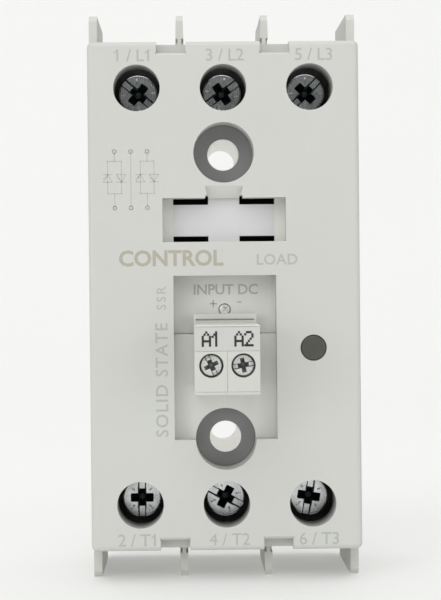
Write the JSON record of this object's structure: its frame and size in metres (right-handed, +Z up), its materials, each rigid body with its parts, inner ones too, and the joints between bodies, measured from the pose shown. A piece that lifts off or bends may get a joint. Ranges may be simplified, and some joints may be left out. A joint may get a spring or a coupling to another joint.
{
  "type": "solid state relay",
  "caption": "Slim upright solid state relay with screw terminals above and below, a pull-off control plug and a metal base plate that bolts to a heat sink.",
  "frame": {"origin": "middle of the base plate's contact face, which lies on the heat sink", "axes": "+Z up towards the line terminals, +Y out of the contact face into the heat sink, so the front faces -Y, +X to the right seen from the front"},
  "size_m": [0.045, 0.047, 0.095],
  "materials": {
    "cover_grey": "fine matte moulded texture, light grey",
    "housing_grey": "fine matte moulded texture, light grey",
    "plug_grey": "smooth moulded, slightly warm light grey",
    "label_grey": "matte printed strip",
    "plate_metal": "milled",
    "zinc_steel": "bright zinc plated",
    "tinned_copper": "plated copper alloy",
    "substrate_ceramic": "fired white ceramic",
    "silicon": "passivated chip, dark grey",
    "board_green": "solder mask",
    "epoxy_black": "moulded epoxy",
    "varistor_blue": "dipped coating",
    "film_yellow": "moulded box",
    "lens_clear": "clear moulded light guide",
    "lens_smoked": "smoked, near black"
  },
  "bodies": {
    "root": {"base_plate": "plate_metal", "base_housing": "housing_grey", "front_cover": "cover_grey", "plate_screw_1": "zinc_steel", "plate_screw_2": "zinc_steel", "plate_screw_3": "zinc_steel", "plate_screw_4": "zinc_steel", "terminal_nut_l1": "zinc_steel", "terminal_nut_l2": "zinc_steel", "terminal_nut_l3": "zinc_steel", "terminal_nut_t1": "zinc_steel", "terminal_nut_t2": "zinc_steel", "terminal_nut_t3": "zinc_steel", "busbar_l1": "tinned_copper", "busbar_l3": "tinned_copper", "busbar_t1": "tinned_copper", "busbar_t3": "tinned_copper", "busbar_l2_t2": "tinned_copper", "substrate_left": "substrate_ceramic", "substrate_right": "substrate_ceramic", "thyristor_left_upper": "silicon", "thyristor_left_lower": "silicon", "thyristor_right_upper": "silicon", "thyristor_right_lower": "silicon", "gate_pin_left": "tinned_copper", "gate_pin_right": "tinned_copper", "circuit_board": "board_green", "optocoupler_left": "epoxy_black", "optocoupler_right": "epoxy_black", "driver_chip": "epoxy_black", "varistor_upper": "varistor_blue", "varistor_lower": "varistor_blue", "snubber_capacitor": "film_yellow", "status_led": "lens_clear", "light_guide": "lens_clear", "indicator_window": "lens_smoked", "control_header": "plug_grey", "header_pin_a1": "tinned_copper", "header_pin_a2": "tinned_copper"},
    "clamp_l1": {"wire_clamp_l1": "zinc_steel"},
    "screw_l1": {"terminal_screw_l1": "zinc_steel"},
    "clamp_l2": {"wire_clamp_l2": "zinc_steel"},
    "screw_l2": {"terminal_screw_l2": "zinc_steel"},
    "clamp_l3": {"wire_clamp_l3": "zinc_steel"},
    "screw_l3": {"terminal_screw_l3": "zinc_steel"},
    "clamp_t1": {"wire_clamp_t1": "zinc_steel"},
    "screw_t1": {"terminal_screw_t1": "zinc_steel"},
    "clamp_t2": {"wire_clamp_t2": "zinc_steel"},
    "screw_t2": {"terminal_screw_t2": "zinc_steel"},
    "clamp_t3": {"wire_clamp_t3": "zinc_steel"},
    "screw_t3": {"terminal_screw_t3": "zinc_steel"},
    "plug": {"plug_body": "plug_grey", "plug_label": "label_grey", "plug_contact_a1": "tinned_copper", "plug_contact_a2": "tinned_copper"},
    "cage_a1": {"clamp_cage_a1": "zinc_steel"},
    "screw_a1": {"plug_screw_a1": "zinc_steel"},
    "cage_a2": {"clamp_cage_a2": "zinc_steel"},
    "screw_a2": {"plug_screw_a2": "zinc_steel"}
  },
  "joints": [
    {"name": "clamp_rise_l1", "type": "slide", "parent": "root", "child": "clamp_l1", "axis": [0, -1, 0], "range_m": [0, 0.0035]},
    {"name": "screw_turn_l1", "type": "hinge", "parent": "clamp_l1", "child": "screw_l1", "pos_m": [-0.0143, -0.0195, 0.0345], "axis": [0, -1, 0], "range_deg": [-10, 1810]},
    {"name": "clamp_rise_l2", "type": "slide", "parent": "root", "child": "clamp_l2", "axis": [0, -1, 0], "range_m": [0, 0.0035]},
    {"name": "screw_turn_l2", "type": "hinge", "parent": "clamp_l2", "child": "screw_l2", "pos_m": [0, -0.0195, 0.0345], "axis": [0, -1, 0], "range_deg": [-10, 1810]},
    {"name": "clamp_rise_l3", "type": "slide", "parent": "root", "child": "clamp_l3", "axis": [0, -1, 0], "range_m": [0, 0.0035]},
    {"name": "screw_turn_l3", "type": "hinge", "parent": "clamp_l3", "child": "screw_l3", "pos_m": [0.0143, -0.0195, 0.0345], "axis": [0, -1, 0], "range_deg": [-10, 1810]},
    {"name": "clamp_rise_t1", "type": "slide", "parent": "root", "child": "clamp_t1", "axis": [0, -1, 0], "range_m": [0, 0.0035]},
    {"name": "screw_turn_t1", "type": "hinge", "parent": "clamp_t1", "child": "screw_t1", "pos_m": [-0.0143, -0.0195, -0.0345], "axis": [0, -1, 0], "range_deg": [-10, 1810]},
    {"name": "clamp_rise_t2", "type": "slide", "parent": "root", "child": "clamp_t2", "axis": [0, -1, 0], "range_m": [0, 0.0035]},
    {"name": "screw_turn_t2", "type": "hinge", "parent": "clamp_t2", "child": "screw_t2", "pos_m": [0, -0.0195, -0.0345], "axis": [0, -1, 0], "range_deg": [-10, 1810]},
    {"name": "clamp_rise_t3", "type": "slide", "parent": "root", "child": "clamp_t3", "axis": [0, -1, 0], "range_m": [0, 0.0035]},
    {"name": "screw_turn_t3", "type": "hinge", "parent": "clamp_t3", "child": "screw_t3", "pos_m": [0.0143, -0.0195, -0.0345], "axis": [0, -1, 0], "range_deg": [-10, 1810]},
    {"name": "plug_pull", "type": "slide", "parent": "root", "child": "plug", "axis": [0, -1, 0], "range_m": [0, 0.012]},
    {"name": "cage_draw_a1", "type": "slide", "parent": "plug", "child": "cage_a1", "axis": [0, -1, 0], "range_m": [0, 0.0025]},
    {"name": "screw_turn_a1", "type": "hinge", "parent": "plug", "child": "screw_a1", "pos_m": [-0.00254, -0.0438, -0.0109], "axis": [0, -1, 0], "range_deg": [-1810, 10]},
    {"name": "cage_draw_a2", "type": "slide", "parent": "plug", "child": "cage_a2", "axis": [0, -1, 0], "range_m": [0, 0.0025]},
    {"name": "screw_turn_a2", "type": "hinge", "parent": "plug", "child": "screw_a2", "pos_m": [0.00254, -0.0438, -0.0109], "axis": [0, -1, 0], "range_deg": [-1810, 10]}
  ],
  "couplings": [
    {"joint": "screw_turn_l1", "follows": "clamp_rise_l1", "rad_per_m": 8976},
    {"joint": "screw_turn_l2", "follows": "clamp_rise_l2", "rad_per_m": 8976},
    {"joint": "screw_turn_l3", "follows": "clamp_rise_l3", "rad_per_m": 8976},
    {"joint": "screw_turn_t1", "follows": "clamp_rise_t1", "rad_per_m": 8976},
    {"joint": "screw_turn_t2", "follows": "clamp_rise_t2", "rad_per_m": 8976},
    {"joint": "screw_turn_t3", "follows": "clamp_rise_t3", "rad_per_m": 8976},
    {"joint": "screw_turn_a1", "follows": "cage_draw_a1", "rad_per_m": -12566},
    {"joint": "screw_turn_a2", "follows": "cage_draw_a2", "rad_per_m": -12566}
  ]
}
